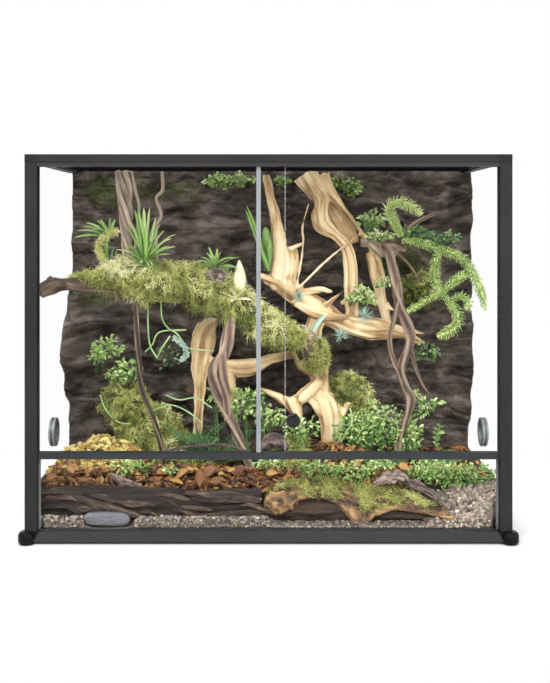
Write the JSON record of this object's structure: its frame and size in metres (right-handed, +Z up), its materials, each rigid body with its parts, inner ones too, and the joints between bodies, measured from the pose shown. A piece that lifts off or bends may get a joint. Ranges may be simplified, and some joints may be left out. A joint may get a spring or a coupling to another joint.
{
  "type": "planted reptile terrarium",
  "caption": "Glass terrarium in a dark metal frame with sliding front doors, side vents, lock and lift-off mesh top, planted with rock, driftwood, moss and plants.",
  "frame": {"origin": "centre of the footprint on the floor, under the four feet", "axes": "+X to the right seen from the front, +Y to the rear, +Z up"},
  "size_m": [1.028, 0.528, 0.8],
  "materials": {
    "frame_metal": "satin dark grey powder coat",
    "foot_plastic": "moulded black",
    "corner_plastic": "moulded dark grey",
    "clear_glass": "clear float glass",
    "vent_grey": "grey moulded vent",
    "track_metal": "dark grey extrusion",
    "silicone": "black silicone",
    "edge_seal": "translucent white seal strip",
    "lock_black": "gloss black",
    "key_steel": "turned steel",
    "lid_metal": "black coated frame and mesh",
    "rock": "dark layered rock face",
    "gravel": "pale grey gravel",
    "earth": "dark soil",
    "bark": "rough bark",
    "pale_wood": "pale weathered driftwood",
    "moss": "shaggy moss",
    "foliage": "green leaves",
    "dry_leaf": "dry leaves"
  },
  "bodies": {
    "terrarium": {"base_rail_front": "frame_metal", "base_rail_rear": "frame_metal", "base_rail_left": "frame_metal", "base_rail_right": "frame_metal", "foot_front_left": "foot_plastic", "foot_front_right": "foot_plastic", "foot_rear_left": "foot_plastic", "foot_rear_right": "foot_plastic", "post_left": "frame_metal", "post_right": "frame_metal", "rim_rail_front": "frame_metal", "rim_rail_rear": "frame_metal", "rim_rail_left": "frame_metal", "rim_rail_right": "frame_metal", "rim_corner_front_left": "corner_plastic", "rim_corner_front_right": "corner_plastic", "rim_corner_rear_left": "corner_plastic", "rim_corner_rear_right": "corner_plastic", "upper_track": "track_metal", "lower_track": "track_metal", "glass_left": "clear_glass", "glass_right": "clear_glass", "glass_rear": "clear_glass", "glass_floor": "clear_glass", "glass_front_lower": "clear_glass", "silicone_beads": "silicone", "vent_left_flange": "vent_grey", "vent_left_ring": "vent_grey", "vent_left_grille": "vent_grey", "vent_right_flange": "vent_grey", "vent_right_ring": "vent_grey", "vent_right_grille": "vent_grey", "rock_background": "rock", "drainage_layer": "gravel", "soil": "earth", "boulder": "rock", "log_left": "bark", "log_right": "bark", "driftwood": "pale_wood", "moss_branch": "moss", "root_bundle": "bark", "liana_left": "bark", "liana_middle": "bark", "vine_right": "bark", "moss_cushions": "moss", "grass_tufts": "foliage", "strap_leaves": "foliage", "tassel_fern": "foliage", "fern_clumps": "foliage", "leafy_creepers": "foliage", "leaf_litter": "dry_leaf"},
    "door_left": {"door_left": "clear_glass"},
    "door_right": {"door_right": "clear_glass", "door_edge_seal": "edge_seal", "lock_body": "lock_black", "lock_nut": "lock_black"},
    "lock_barrel": {"lock_barrel": "lock_black"},
    "lock_key_plug": {"lock_key_plug": "key_steel"},
    "mesh_top": {"lid_frame": "lid_metal", "lid_mesh": "lid_metal"}
  },
  "joints": [
    {"name": "door_left_slide", "type": "slide", "parent": "terrarium", "child": "door_left", "axis": [1, 0, 0], "range_m": [0, 0.43]},
    {"name": "door_right_slide", "type": "slide", "parent": "terrarium", "child": "door_right", "axis": [-1, 0, 0], "range_m": [0, 0.43]},
    {"name": "lock_push", "type": "slide", "parent": "door_right", "child": "lock_barrel", "axis": [0, -1, 0], "range_m": [-0.008, 0]},
    {"name": "lock_key_turn", "type": "hinge", "parent": "lock_barrel", "child": "lock_key_plug", "pos_m": [0.051, -0.25, 0.253], "axis": [0, -1, 0], "range_deg": [0, 90]},
    {"name": "mesh_top_lift", "type": "slide", "parent": "terrarium", "child": "mesh_top", "axis": [0, 0, 1], "range_m": [0, 0.12]}
  ]
}
